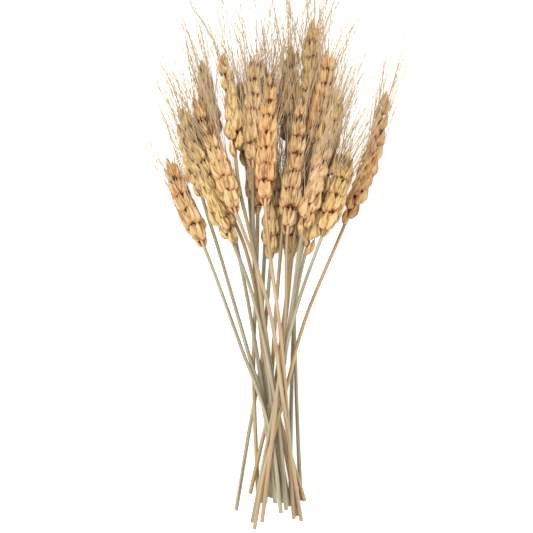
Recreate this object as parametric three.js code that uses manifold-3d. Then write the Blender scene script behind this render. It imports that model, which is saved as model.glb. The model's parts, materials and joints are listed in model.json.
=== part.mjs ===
// A loose bundle of dried bearded wheat, lying flat: 24 cut stalks, each a stem and its ear.
// Millimetres. +X across the bundle, +Y from the cut ends to the ears, +Z up from the surface.
import * as THREE from "three";
import { mergeVertices } from "three/addons/utils/BufferGeometryUtils.js";
import Module from "manifold-3d";

const wasm = await Module();
wasm.setup();

// Driving dimensions
const BUNDLE_LENGTH = 384;     // lowest cut end to the highest ear's tip
const EAR_SPREAD = 165;        // across the bundle, between the outermost ears
const STEM_DIAMETER = 2.8;
const EAR_WIDTH = 14;          // across a spikelet's fan
const EAR_DEPTH = 11.5;        // from one row of spikelets to the other
const SPIKELET_PITCH = 7.5;    // along the ear, each spikelet on the other side from the last
const AWN_LENGTH = 60;
const AWN_DIAMETER = 0.9;
const END_GAP = 0.3;           // between a stem's top and its ear
const LAY_GAP = 0.3;           // kept between stalks that lie on each other
const STEM_TAPER = 0.15;       // how much thinner a stem is at its neck, as a share
const JOINT_SWELL = 1.25;      // a stem's leaf joint, as a share of its diameter
const COLLAR_RADIUS = 1.7;     // where an ear starts on its stem
const TIP_FULLNESS = 0.28;     // an ear's width at its tip, as a share
const ROW_BULGE = 0.12;        // how far one row of spikelets stands out, as a share of the depth
const AWN_TAPER = 0.4;         // how much thinner an awn is at its end, as a share

// How a straw bends and what it weighs, in newtons and millimetres
const STRAW_STIFFNESS = 30;
const STEM_WEIGHT = 1e-4;      // per millimetre
const EAR_WEIGHT = 2e-4;       // per millimetre
const CONTACT_STIFFNESS = 2;
const LOOSE_HOLD = 1e-7;       // keeps a straw that touches at one point from spinning
const SETTLE_ROUNDS = 80;

// How finely the stalks are divided
const STEM_STEP = 17;
const STEM_SIDES = 6;
const EAR_SIDES = 8;
const AWN_STEPS = 4;
const AWN_SIDES = 3;
const AWNS_PER_EAR = 5;
const AWN_PLACES = [[1, 0.03], [2, 0.22], [2, -0.22], [4, 0.14], [4, -0.14], [3, 0.3], [3, -0.3]];
const AWN_LIFTS = [0.02, 0.08, -0.05, -0.12, 0.13];

// Surface colours of the ears and stems
const EAR_COLOURS = { golden: 0xd9b27c, orange: 0xd9a066, olive: 0xc4aa70, brown: 0xa98458 };
const STRAW_COLOURS = { tan: 0xcfb184, orange: 0xcf9c5e, green: 0xb9ad86, grey: 0xb7a98c };

// The stalks, from the lowest in the pile to the one on top. A point is [across, along]: across in
// hundredths of half the ear spread from the middle, along in hundredths of the bundle's length.
// stem runs from the cut end to the neck, and tip is the ear's. ear and straw name the colours.
// bow is how far the ear bends to the right, in hundredths of its length. roll turns the ear about
// its own axis, in degrees: at 0 a row of spikelets faces up, at 90 both rows show, one on each
// side. joint is how far up the stem its leaf joint is, where it has one.
const STALKS = [
  { ear: "brown", straw: "grey", roll: 20, bow: 0,
    stem: [[5, 5.5], [-4, 38.5], [-1, 58], [1, 74]], tip: [-1, 91] },
  { ear: "brown", straw: "green", roll: 70, bow: -2,
    stem: [[16, 4.5], [0, 28.5], [-10, 48.5], [-18, 71]], tip: [-24, 88.5] },
  { ear: "brown", straw: "grey", roll: 40, bow: 1,
    stem: [[22, 4.5], [23, 26], [27, 46.5], [35, 66]], tip: [41, 83.5] },
  { ear: "brown", straw: "grey", roll: 0, bow: 0,
    stem: [[-4, 4.5], [10, 31], [18, 44.5], [21, 52.5]], tip: [28, 70] },
  { ear: "brown", straw: "green", roll: 60, bow: 0,
    stem: [[-28, 3], [-13, 22.5], [-4, 33], [1, 44.5], [4, 52.5]], tip: [10, 71] },
  { ear: "golden", straw: "tan", roll: 30, bow: 0,
    stem: [[-8, 6], [-12, 33], [-10, 44.5], [-8, 61.5]], tip: [-10, 77.5] },
  { ear: "brown", straw: "grey", roll: 75, bow: -1,
    stem: [[12, 5], [-8, 33], [-19, 46.5], [-33, 61], [-46, 74]], tip: [-59, 91.5] },
  { ear: "olive", straw: "orange", roll: 15, bow: 1,
    stem: [[-15, 6.5], [14, 35], [23, 52.5], [32, 68], [39, 81]], tip: [42, 100] },
  { ear: "brown", straw: "tan", roll: 35, bow: 0,
    stem: [[-1, 4.5], [8, 40.5], [15, 60], [19, 76]], tip: [23, 95] },
  { ear: "orange", straw: "grey", roll: 10, bow: 2,
    stem: [[2, 6], [18, 35], [27, 48.5], [33, 60], [43, 74]], tip: [57, 94] },
  { ear: "olive", straw: "green", roll: 50, bow: 0,
    stem: [[-8, 5], [8, 25], [21, 38.5], [30, 52], [47, 67]], tip: [68, 86] },
  { ear: "brown", straw: "green", roll: 80, bow: 0,
    stem: [[32, 5], [30, 13], [27, 30.5], [26, 42.5], [35, 53.5]], tip: [63, 74] },
  { ear: "golden", straw: "orange", roll: 25, bow: -1,
    stem: [[35, 5], [1, 30.5], [-10, 46.5], [-23, 57], [-38, 64]], tip: [-66, 84] },
  { ear: "olive", straw: "green", roll: 60, bow: 0,
    stem: [[8, 5], [-4, 25], [-15, 33], [-44, 54.5], [-59, 65]], tip: [-79, 83] },
  { ear: "golden", straw: "grey", roll: 5, bow: -3,
    stem: [[21, 4], [5, 25], [-4, 42.5], [-12, 60], [-12, 70.5]], tip: [-8, 93.5] },
  { ear: "olive", straw: "tan", roll: 85, bow: 4,
    stem: [[28, 2], [3, 33], [-11, 53.5], [-25, 67], [-28, 72.5]], tip: [-41, 92.5] },
  { ear: "golden", straw: "grey", roll: 90, bow: 0,
    stem: [[-3, 3], [10, 25], [17, 35], [24, 44.5], [32, 57.5]], tip: [59, 78] },
  { ear: "olive", straw: "green", roll: 45, bow: 1,
    stem: [[18, 3.5], [12, 19], [5, 29], [-14, 46.5], [-30, 55.5]], tip: [-68, 75.5] },
  { ear: "golden", straw: "green", roll: 0, bow: -2,
    stem: [[13, 3.5], [4, 18.5], [-8, 27], [-21, 34], [-57, 55]], tip: [-90, 72.5] },
  { ear: "olive", straw: "green", roll: 5, bow: 2,
    stem: [[-13, 1], [8, 25], [15, 33], [30, 45], [50, 57]], tip: [75, 74] },
  { ear: "orange", straw: "orange", roll: 90, bow: 4,
    stem: [[-11, 0], [-1, 12], [18, 27.5], [35, 40.5], [72, 59.5]], tip: [110, 85.5] },
  { ear: "golden", straw: "tan", roll: 0, bow: 0,
    stem: [[-4, 1.5], [10, 27], [18, 44.5], [18, 50.5], [19, 57.5]], tip: [33, 85] },
  { ear: "orange", straw: "orange", roll: 0, bow: -1,
    stem: [[25, 1.5], [18, 25], [11, 41.5], [5, 50.5], [-1, 63]], tip: [5, 89.5] },
  { ear: "golden", straw: "tan", roll: 0, bow: 1, joint: 0.54,
    stem: [[32, 1], [15, 25], [4, 41.5], [-11, 52.5], [-27, 61.5]], tip: [-57, 79.5] },
];

const onFloor = ([across, along]) =>
  new THREE.Vector3((across / 100) * (EAR_SPREAD / 2), (along / 100) * BUNDLE_LENGTH, 0);

// How full the ear is, from its neck at 0 to its tip at 1.
function earFullness(share) {
  const base = THREE.MathUtils.smoothstep(share, -0.06, 0.16);
  const taper = 1 - (1 - TIP_FULLNESS) * Math.pow(Math.max(0, share - 0.25) / 0.75, 1.9);
  return base * taper;
}

// The stalk's axis on the floor as a chain of points, and the half sizes of its section at each.
function layOut(stalk) {
  const neck = onFloor(stalk.stem.at(-1));
  const tip = onFloor(stalk.tip);
  const lean = tip.clone().sub(neck);
  const middle = neck.clone().addScaledVector(lean, 0.5);
  middle.add(new THREE.Vector3(lean.y, -lean.x, 0).multiplyScalar(stalk.bow / 100));
  const curve = new THREE.CatmullRomCurve3([...stalk.stem.map(onFloor), middle, tip], false, "centripetal");
  const spans = stalk.stem.length + 1;
  curve.arcLengthDivisions = 60 * spans;
  const length = curve.getLength();
  const neckAt = curve.getLengths()[60 * (spans - 2)];
  const earLength = length - neckAt - END_GAP;
  const spikelets = Math.round(earLength / SPIKELET_PITCH);
  const stemSteps = Math.round(neckAt / STEM_STEP);
  const chain = [];
  for (let i = 0; i <= stemSteps; i++) {
    const radius = (STEM_DIAMETER / 2) * (1 - STEM_TAPER * (i / stemSteps));
    chain.push({ at: curve.getPointAt(((i / stemSteps) * neckAt) / length), half: [radius, radius] });
  }
  const roll = THREE.MathUtils.degToRad(stalk.roll);
  const skew = 1 + 0.13 * Math.abs(Math.sin(2 * roll));
  for (let i = 0; i <= spikelets; i++) {
    const share = i / spikelets;
    const at = curve.getPointAt(Math.min(1, (neckAt + END_GAP + share * earLength) / length));
    const width = (EAR_WIDTH / 2) * earFullness(share);
    const depth = (EAR_DEPTH / 2) * earFullness(share);
    const across = skew * Math.hypot(width * Math.cos(roll), depth * Math.sin(roll));
    const up = skew * Math.hypot(width * Math.sin(roll), depth * Math.cos(roll));
    chain.push({ at, share, width, depth, half: [across, up] });
  }
  return { ...stalk, roll, chain, stemSteps, spikelets };
}

// The point of the segment from a to b that is nearest to p in plan, as a share of its length.
function nearestShare(p, a, b) {
  const dx = b.x - a.x;
  const dy = b.y - a.y;
  return THREE.MathUtils.clamp(((p.x - a.x) * dx + (p.y - a.y) * dy) / (dx * dx + dy * dy), 0, 1);
}

// How high a round or oval thing of half sizes half must lie at p to clear the stalks laid before.
function heightOver(laid, p, half) {
  let height = half[1];
  for (const { chain } of laid) {
    for (let j = 0; j + 1 < chain.length; j++) {
      const a = chain[j];
      const b = chain[j + 1];
      const t = nearestShare(p, a.at, b.at);
      const reach = half[0] + THREE.MathUtils.lerp(a.half[0], b.half[0], t) + LAY_GAP;
      const x = THREE.MathUtils.lerp(a.at.x, b.at.x, t) - p.x;
      const y = THREE.MathUtils.lerp(a.at.y, b.at.y, t) - p.y;
      const near = Math.hypot(x, y) / reach;
      if (near >= 1) continue;
      const rise = half[1] + THREE.MathUtils.lerp(a.half[1], b.half[1], t) + LAY_GAP;
      height = Math.max(height, THREE.MathUtils.lerp(a.at.z, b.at.z, t) + rise * Math.sqrt(1 - near * near));
    }
  }
  return height;
}

// Solves the square system matrix * x = right by elimination. The matrix is symmetric and positive.
function solve(matrix, right) {
  const rows = matrix.map((row, i) => [...row, right[i]]);
  const size = rows.length;
  for (let i = 0; i < size; i++) {
    for (let k = i + 1; k < size; k++) {
      const factor = rows[k][i] / rows[i][i];
      if (factor === 0) continue;
      for (let j = i; j <= size; j++) rows[k][j] -= factor * rows[i][j];
    }
  }
  for (let i = size - 1; i >= 0; i--) {
    for (let j = i + 1; j < size; j++) rows[i][size] -= rows[i][j] * rows[j][size];
    rows[i][size] /= rows[i][i];
  }
  return rows.map((row) => row[size]);
}

// The straw's resistance to bending up and down, as a matrix over the heights of its links, and the
// weight that each link carries.
function strawAndWeight({ chain, stemSteps }) {
  const size = chain.length;
  const emptyRow = () => new Array(size).fill(0);
  const bending = Array.from({ length: size }, emptyRow);
  bending.forEach((row, i) => { row[i] = LOOSE_HOLD; });
  const weight = emptyRow();
  const spans = chain.slice(1).map((link, i) => link.at.distanceTo(chain[i].at));
  for (let i = 1; i + 1 < size; i++) {
    const [before, after] = [spans[i - 1], spans[i]];
    const both = before + after;
    const pull = [2 / (before * both), -2 / (before * after), 2 / (after * both)];
    for (let a = 0; a < 3; a++) {
      for (let b = 0; b < 3; b++) {
        bending[i - 1 + a][i - 1 + b] += (STRAW_STIFFNESS * both * pull[a] * pull[b]) / 2;
      }
    }
  }
  spans.forEach((span, i) => {
    const load = (span * (i < stemSteps ? STEM_WEIGHT : EAR_WEIGHT)) / 2;
    weight[i] += load;
    weight[i + 1] += load;
  });
  return { bending, weight };
}

// Lays a stalk on the ones before it: a springy straw that sags until what is under it holds it up.
function settle(stalk, laid) {
  const { chain } = stalk;
  const supports = [];
  for (let i = 0; i + 1 < chain.length; i++) {
    for (const t of [0, 0.25, 0.5, 0.75, 1]) {
      const p = chain[i].at.clone().lerp(chain[i + 1].at, t);
      const half = [0, 1].map((k) => THREE.MathUtils.lerp(chain[i].half[k], chain[i + 1].half[k], t));
      supports.push({ i, t, height: heightOver(laid, p, half) });
    }
  }
  const { bending, weight } = strawAndWeight(stalk);
  let pressed = supports.map(() => true);
  let z = [];
  for (let round = 0; round < SETTLE_ROUNDS; round++) {
    const matrix = bending.map((row) => [...row]);
    const right = weight.map((load) => -load);
    supports.forEach(({ i, t, height }, k) => {
      if (!pressed[k]) return;
      matrix[i][i] += CONTACT_STIFFNESS * (1 - t) ** 2;
      matrix[i][i + 1] += CONTACT_STIFFNESS * (1 - t) * t;
      matrix[i + 1][i] += CONTACT_STIFFNESS * (1 - t) * t;
      matrix[i + 1][i + 1] += CONTACT_STIFFNESS * t ** 2;
      right[i] += CONTACT_STIFFNESS * (1 - t) * height;
      right[i + 1] += CONTACT_STIFFNESS * t * height;
    });
    z = solve(matrix, right);
    const next = supports.map(({ i, t, height }) => z[i] * (1 - t) + z[i + 1] * t < height);
    if (next.every((value, k) => value === pressed[k])) break;
    pressed = next;
  }
  // What is still pressed into its support is lifted clear of it.
  for (let worst = 1; worst > 0.001;) {
    worst = 0;
    for (const { i, t, height } of supports) {
      const short = height - (z[i] * (1 - t) + z[i + 1] * t);
      if (short <= 0) continue;
      worst = Math.max(worst, short);
      z[i] += (short * (1 - t)) / ((1 - t) ** 2 + t ** 2);
      z[i + 1] += (short * t) / ((1 - t) ** 2 + t ** 2);
    }
  }
  chain.forEach((link, i) => { link.at.z = z[i]; });
}

// The axis direction, the level direction across it, and the direction square to both.
function directionsAt(points, i) {
  const before = points[Math.max(0, i - 1)];
  const after = points[Math.min(points.length - 1, i + 1)];
  const along = after.clone().sub(before).normalize();
  const across = along.clone().cross(new THREE.Vector3(0, 0, 1)).normalize();
  return { along, across, up: across.clone().cross(along) };
}

// A closed skin over rings of points, each ring turning the same way round the axis.
function skin(rings) {
  const sides = rings[0].length;
  const positions = rings.flat().concat([centreOf(rings[0]), centreOf(rings.at(-1))]);
  const index = [];
  const firstCentre = rings.length * sides;
  for (let side = 0; side < sides; side++) {
    const next = (side + 1) % sides;
    for (let ring = 0; ring + 1 < rings.length; ring++) {
      const a = ring * sides + side;
      const b = ring * sides + next;
      index.push(a, b, b + sides, a, b + sides, a + sides);
    }
    const end = (rings.length - 1) * sides;
    index.push(firstCentre, next, side, firstCentre + 1, end + side, end + next);
  }
  const geometry = new THREE.BufferGeometry();
  geometry.setAttribute("position", new THREE.Float32BufferAttribute(positions.flatMap((p) => p.toArray()), 3));
  geometry.setIndex(index);
  return geometry;
}

function centreOf(ring) {
  return ring.reduce((sum, p) => sum.add(p), new THREE.Vector3()).divideScalar(ring.length);
}

// A ring of points round centre, from the two half sizes along the directions u and v.
function ringOf(centre, u, v, halfU, halfV, sides) {
  return Array.from({ length: sides }, (_, k) => {
    const angle = (2 * Math.PI * (k + 0.5)) / sides;
    const point = centre.clone().addScaledVector(u, halfU * Math.cos(angle));
    return point.addScaledVector(v, halfV * Math.sin(angle));
  });
}

function buildStem({ chain, stemSteps, joint }) {
  const links = chain.slice(0, stemSteps + 1);
  const points = links.map((link) => link.at);
  const jointRing = joint ? Math.round(joint * stemSteps) : -1;
  return skin(links.map((link, i) => {
    const { across, up } = directionsAt(points, i);
    const radius = link.half[0] * (i === jointRing ? JOINT_SWELL : 1);
    return ringOf(link.at, up, across, radius, radius, STEM_SIDES);
  }));
}

// The ear without its awns. Its two rows of spikelets bulge out by turns along its length.
function earBody({ chain, stemSteps, roll }) {
  const links = chain.slice(stemSteps + 1);
  const points = links.map((link) => link.at);
  return skin(links.map((link, i) => {
    const { across, up } = directionsAt(points, i);
    const row = up.clone().multiplyScalar(Math.cos(roll)).addScaledVector(across, Math.sin(roll));
    const fan = across.clone().multiplyScalar(Math.cos(roll)).addScaledVector(up, -Math.sin(roll));
    const side = i % 2 ? 1 : -1;
    const depth = Math.max(COLLAR_RADIUS, link.depth * (1 - ROW_BULGE));
    const centre = link.at.clone().addScaledVector(row, i ? side * link.depth * ROW_BULGE : 0);
    return ringOf(centre, row, fan, depth, Math.max(COLLAR_RADIUS, link.width), EAR_SIDES);
  }));
}

// The closest distance between the segments from a to b and from c to d.
function segmentDistance(a, b, c, d) {
  const first = new THREE.Line3(a, b);
  const second = new THREE.Line3(c, d);
  const hit = new THREE.Vector3();
  let best = Infinity;
  for (let step = 0; step <= 8; step++) {
    const p = first.at(step / 8, new THREE.Vector3());
    second.closestPointToPoint(p, true, hit);
    best = Math.min(best, p.distanceTo(hit));
  }
  return best;
}

// Whether an awn's chain of points keeps clear of every stalk but its own, and of the awns before it.
function runsFree(path, own, stalks, awns) {
  const room = AWN_DIAMETER + LAY_GAP;
  for (const p of path) {
    if (p.z < AWN_DIAMETER) return false;
  }
  for (const other of stalks) {
    if (other === own) continue;
    for (let j = 0; j + 1 < other.chain.length; j++) {
      const a = other.chain[j];
      const b = other.chain[j + 1];
      const thick = Math.max(...a.half, ...b.half) + room;
      for (let i = 0; i + 1 < path.length; i++) {
        if (segmentDistance(path[i], path[i + 1], a.at, b.at) < thick) return false;
      }
    }
  }
  for (const awn of awns) {
    for (let j = 0; j + 1 < awn.length; j++) {
      for (let i = 0; i + 1 < path.length; i++) {
        if (segmentDistance(path[i], path[i + 1], awn[j], awn[j + 1]) < room * 1.2) return false;
      }
    }
  }
  return true;
}

// The awns that an ear has room for: they leave its upper spikelets and spread to both sides. A
// place is how many spikelets back from the tip the awn starts, and how far it spreads in radians.
function findAwns(stalk, stalks, taken) {
  const links = stalk.chain.slice(stalk.stemSteps + 1);
  const points = links.map((link) => link.at);
  const found = [];
  for (const lift of AWN_LIFTS) {
    for (const [back, spread] of AWN_PLACES) {
      if (found.length === AWNS_PER_EAR) return found;
      const i = links.length - 1 - back;
      const { along, across, up } = directionsAt(points, i);
      const side = Math.sign(spread);
      const root = points[i].clone().addScaledVector(across, side * links[i].half[0] * 0.45);
      const path = Array.from({ length: AWN_STEPS + 1 }, (_, k) => {
        const run = (k / AWN_STEPS) * AWN_LENGTH;
        const bend = Math.sin(spread * (0.7 + 0.45 * (k / AWN_STEPS))) * run;
        return root.clone().addScaledVector(along, run).addScaledVector(across, bend)
          .addScaledVector(up, lift * run);
      });
      const clearOfOwn = found.every((other) => other[2].distanceTo(path[2]) > 3 * AWN_DIAMETER);
      if (clearOfOwn && runsFree(path, stalk, stalks, taken)) {
        found.push(path);
        taken.push(path);
      }
    }
  }
  return found;
}

function buildAwn(path) {
  return skin(path.map((point, i) => {
    const { across, up } = directionsAt(path, i);
    const radius = (AWN_DIAMETER / 2) * (1 - AWN_TAPER * (i / AWN_STEPS));
    return ringOf(point, up, across, radius, radius, AWN_SIDES);
  }));
}

function toSolid(geometry) {
  const merged = mergeVertices(geometry);
  const mesh = new wasm.Mesh({
    numProp: 3,
    vertProperties: new Float32Array(merged.getAttribute("position").array),
    triVerts: new Uint32Array(merged.getIndex().array),
  });
  return new wasm.Manifold(mesh);
}

function toGeometry(solid) {
  const { vertProperties, triVerts } = solid.getMesh();
  const geometry = new THREE.BufferGeometry();
  geometry.setAttribute("position", new THREE.Float32BufferAttribute(vertProperties, 3));
  geometry.setIndex(new THREE.BufferAttribute(triVerts, 1));
  geometry.computeVertexNormals();
  return geometry;
}

const dried = (color, roughness) => new THREE.MeshStandardMaterial({ color, roughness, metalness: 0 });

const stalks = [];
for (const stalk of STALKS.map(layOut)) {
  settle(stalk, stalks);
  stalks.push(stalk);
}

// The stalks on top choose their awns first.
const awnsTaken = [];
for (const stalk of [...stalks].reverse()) stalk.awns = findAwns(stalk, stalks, awnsTaken);

const bundle = new THREE.Group();
stalks.forEach((stalk, i) => {
  const number = String(i + 1).padStart(2, "0");
  const stem = new THREE.Mesh(buildStem(stalk), dried(STRAW_COLOURS[stalk.straw], 0.55));
  stem.name = `stem_${number}`;
  const withAwn = (solid, path) => solid.add(toSolid(buildAwn(path)));
  const earSolid = stalk.awns.reduce(withAwn, toSolid(earBody(stalk)));
  const ear = new THREE.Mesh(toGeometry(earSolid), dried(EAR_COLOURS[stalk.ear], 0.75));
  ear.name = `ear_${number}`;
  bundle.add(stem, ear);
});

// The origin is the middle of the bundle's outline, on the surface that it lies on.
bundle.updateMatrixWorld(true);
const outline = new THREE.Box3().setFromObject(bundle, true);
const middle = outline.getCenter(new THREE.Vector3());
bundle.position.set(-middle.x, -middle.y, -outline.min.z);

export default bundle;
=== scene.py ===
"""A loose bundle of dried bearded wheat, lying flat: cut straws, their ears and the ears' awns.

Each straw and ear takes its place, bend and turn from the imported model. Metres throughout.
"""

import json
import logging
import math
import random
from collections.abc import Callable
from dataclasses import dataclass, field, replace
from enum import Enum

import bmesh
import bpy
import numpy as np
from mathutils import Matrix, Vector


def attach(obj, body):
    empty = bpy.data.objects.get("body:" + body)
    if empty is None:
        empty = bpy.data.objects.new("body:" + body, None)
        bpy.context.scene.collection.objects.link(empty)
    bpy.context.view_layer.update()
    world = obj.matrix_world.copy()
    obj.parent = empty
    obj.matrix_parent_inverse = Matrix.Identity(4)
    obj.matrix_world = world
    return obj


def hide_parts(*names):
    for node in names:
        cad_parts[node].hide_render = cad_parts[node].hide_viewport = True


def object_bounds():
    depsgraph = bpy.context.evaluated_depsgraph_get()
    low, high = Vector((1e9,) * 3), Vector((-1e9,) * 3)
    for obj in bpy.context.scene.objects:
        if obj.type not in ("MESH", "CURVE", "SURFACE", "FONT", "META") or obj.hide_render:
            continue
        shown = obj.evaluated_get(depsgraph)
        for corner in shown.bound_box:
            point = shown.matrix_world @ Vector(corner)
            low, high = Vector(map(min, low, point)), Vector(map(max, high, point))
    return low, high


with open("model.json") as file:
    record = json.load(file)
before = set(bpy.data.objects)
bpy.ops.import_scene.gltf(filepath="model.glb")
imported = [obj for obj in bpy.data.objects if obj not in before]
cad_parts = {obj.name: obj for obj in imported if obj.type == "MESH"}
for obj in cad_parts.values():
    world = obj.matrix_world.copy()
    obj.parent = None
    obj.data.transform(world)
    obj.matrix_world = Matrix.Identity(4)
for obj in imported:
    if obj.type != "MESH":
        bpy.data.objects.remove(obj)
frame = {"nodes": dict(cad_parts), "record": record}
CAD_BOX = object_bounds()

LOG = logging.getLogger("wheat")
MM = 0.001
ROOT = "root"
TONE = "tone"
JOINT = "joint"
FLOOR_CLEARANCE = 0.3 * MM
STUDIO_LIGHT = 2.0      # how bright the studio makes a white surface that faces the camera
CLOSE = 1e-4            # on a shape one unit long, how near counts as the same height
PARKED = 10.0           # how far up such a shape's finished rings wait for the rest
AWN_LOW = CAD_BOX[0] - Vector((0.012, 0.012, -0.0009))      # the box that awns stay in
AWN_HIGH = CAD_BOX[1] + Vector((0.012, 0.012, 0.008))

Colour = tuple[float, float, float, float]
Piece = bpy.types.Object
Socket = bpy.types.NodeSocket
Shapes = dict[str, Piece]
AwnStart = tuple[Vector, Vector, Vector]


class Sort(Enum):
    """Which way an ear has dried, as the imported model's material slots name it."""

    GOLDEN = "ear_golden"
    ORANGE = "ear_orange"
    OLIVE = "ear_olive"
    BROWN = "ear_brown"


class Straw(Enum):
    """Which way a straw has dried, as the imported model's material slots name it."""

    TAN = "straw_tan"
    ORANGE = "straw_orange"
    GREEN = "straw_green"
    GREY = "straw_grey"


# ---- geometry


def select_only(*objects: Piece) -> None:
    """Selects some objects and nothing else.

    Args:
        objects: the objects. The first one is made active.
    """
    bpy.ops.object.select_all(action="DESELECT")
    for item in objects:
        item.select_set(True)
    bpy.context.view_layer.objects.active = objects[0]


def select_where(blank: Piece, keep: Callable[[Vector], bool]) -> None:
    """Selects the vertices of a shape in edit mode whose place passes a test.

    Args:
        blank: the shape, in edit mode.
        keep: a function of a vertex's place that says whether it is selected.
    """
    mesh = bmesh.from_edit_mesh(blank.data)
    for vertex in mesh.verts:
        vertex.select_set(bool(keep(vertex.co)))
    mesh.select_flush(True)
    mesh.select_flush(False)
    bmesh.update_edit_mesh(blank.data)


def joined(parts: list[Piece], name: str) -> Piece:
    """Joins parts into one piece.

    Args:
        parts: the objects to join, each with its own mesh.
        name: the piece's name.

    Returns:
        The joined piece.
    """
    select_only(*parts)
    bpy.ops.object.join()
    piece = bpy.context.view_layer.objects.active
    piece.name = name
    piece.data.name = name
    return piece


def copied(shape: Piece, place: Matrix, tone: float) -> Piece:
    """Copies a shape with its own mesh, puts it in place and gives it a tone.

    Args:
        shape: the shape that was modelled once.
        place: where the copy goes.
        tone: how light or dark the copy is, from 0 to 1.

    Returns:
        The copy.
    """
    mesh = shape.data.copy()
    mesh.transform(place)
    mesh.attributes[TONE].data.foreach_set("value", [tone] * len(mesh.vertices))
    twin = bpy.data.objects.new(shape.name, mesh)
    bpy.context.scene.collection.objects.link(twin)
    return twin


def rested(piece: Piece, give: float) -> Piece:
    """Presses together the lowest part of a piece, so that it lies on the floor and not below it.

    Args:
        piece: the piece.
        give: how high above the floor the pressing starts.

    Returns:
        The same piece.
    """
    room = give - FLOOR_CLEARANCE
    for vertex in piece.data.vertices:
        if vertex.co.z < give:
            vertex.co.z = FLOOR_CLEARANCE + room * math.exp((vertex.co.z - give) / room)
    return piece


class Line:
    """A smooth line through space, which other shapes are bent along."""

    def __init__(self, knots: np.ndarray, step: float = 2 * MM) -> None:
        """Runs a smooth curve through the knots.

        Args:
            knots: the places that the line passes through, one row each.
            step: how far apart its points are.
        """
        ends = np.vstack([2 * knots[0] - knots[1], knots, 2 * knots[-1] - knots[-2]])
        points = []
        for a, b, c, d in zip(ends, ends[1:], ends[2:], ends[3:]):
            count = max(1, round(float(np.linalg.norm(c - b)) / step))
            for t in np.arange(count) / count:
                points.append(
                    0.5 * (2 * b + (c - a) * t + (2 * a - 5 * b + 4 * c - d) * t * t
                           + (3 * b - a - 3 * c + d) * t**3)
                )
        self.points = np.array([*points, knots[-1]])
        spans = np.linalg.norm(np.diff(self.points, axis=0), axis=1)
        self.lengths = np.concatenate([[0.0], np.cumsum(spans)])

    @property
    def length(self) -> float:
        """The line's whole length."""
        return float(self.lengths[-1])

    def point(self, along: float) -> Vector:
        """The place this far along the line, which isn't past its ends."""
        return Vector([np.interp(along, self.lengths, self.points[:, k]) for k in range(3)])

    def at(self, along: float) -> Vector:
        """Finds a place on the line, or straight on past its ends.

        Args:
            along: how far along the line it is.

        Returns:
            The place.
        """
        inside = min(max(along, 0.0), self.length)
        return self.point(inside) + self.heading(inside) * (along - inside)

    def heading(self, along: float) -> Vector:
        """Finds the line's direction, taken over a short reach of it.

        Args:
            along: how far along the line.

        Returns:
            The direction, one unit long.
        """
        reach = 3 * MM
        low = min(max(along - reach, 0.0), self.length - reach)
        high = min(low + 2 * reach, self.length)
        return (self.point(high) - self.point(low)).normalized()

    def axes(self, along: float) -> tuple[Vector, Vector, Vector]:
        """Finds three directions square to each other.

        Args:
            along: how far along the line.

        Returns:
            The direction along the line, the level one across it, and the one square to both.
        """
        ahead = self.heading(along)
        across = ahead.cross(Vector((0, 0, 1))).normalized()
        return ahead, across, across.cross(ahead)


def bent(
    shape: Piece, line: Line, width: Callable[[float], float], tone: float, turn: float = 0.0
) -> Piece:
    """Copies a straight shape that stands on Z from 0 to 1 and bends it along a line.

    Args:
        shape: the straight shape, one unit in radius.
        line: the line that it follows from end to end.
        width: a function of the share of the length that gives the radius there.
        tone: how light or dark the copy is, from 0 to 1.
        turn: how far the shape is turned about its own axis.

    Returns:
        The bent copy.
    """
    twin = copied(shape, Matrix.Rotation(turn, 4, "Z"), tone)
    places: dict[float, tuple] = {}
    for vertex in twin.data.vertices:
        share = round(vertex.co.z, 4)
        if share not in places:
            along = share * line.length
            places[share] = (line.at(along), width(share), *line.axes(along)[1:])
        centre, radius, across, up = places[share]
        vertex.co = centre + (across * vertex.co.x - up * vertex.co.y) * radius
    return twin


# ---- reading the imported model


@dataclass
class Measured:
    """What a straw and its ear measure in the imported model."""

    number: str
    straw: Line
    straw_radii: list[float]
    ear: Line
    fan: Vector
    half_width: float


def corners(node: str) -> np.ndarray:
    """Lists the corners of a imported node's triangles.

    Args:
        node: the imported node's name.

    Returns:
        The corners, three to a triangle.
    """
    mesh = frame["nodes"][node].data
    mesh.calc_loop_triangles()
    co = np.array([v.co for v in mesh.vertices])
    return co[np.array([t.vertices for t in mesh.loop_triangles])]


def read_straw(node: str) -> tuple[np.ndarray, list[float]]:
    """Finds the middle and the radius of each ring of a packed straw.

    Args:
        node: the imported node's name.

    Returns:
        The rings' middles from the cut end to the neck, and their radii.
    """
    places = np.unique(np.round(corners(node).reshape(-1, 3), 6), axis=0)
    places = places[np.argsort(places[:, 1])]
    ring_gap = 4 * MM
    breaks = np.where(np.diff(places[:, 1]) > ring_gap)[0] + 1
    rings = np.split(places, breaks)
    middles = np.array([(ring.min(0) + ring.max(0)) / 2 for ring in rings])
    radii = [float(np.linalg.norm(ring - ring.mean(0), axis=1).max()) for ring in rings]
    return middles, radii


def section(triangles: np.ndarray, place: np.ndarray, normal: np.ndarray) -> np.ndarray:
    """Cuts a node's triangles with a plane.

    Args:
        triangles: the corners of the triangles.
        place: a place on the plane.
        normal: the plane's direction.

    Returns:
        The cut's straight pieces, each as its two ends.
    """
    heights = (triangles - place) @ normal
    pieces = []
    for corner, height in zip(triangles, heights):
        ends = []
        for a, b in ((0, 1), (1, 2), (2, 0)):
            if (height[a] > 0) != (height[b] > 0):
                share = height[a] / (height[a] - height[b])
                ends.append(corner[a] + (corner[b] - corner[a]) * share)
        if len(ends) == 2:
            pieces.append(ends)
    return np.array(pieces).reshape(-1, 2, 3)


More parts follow.
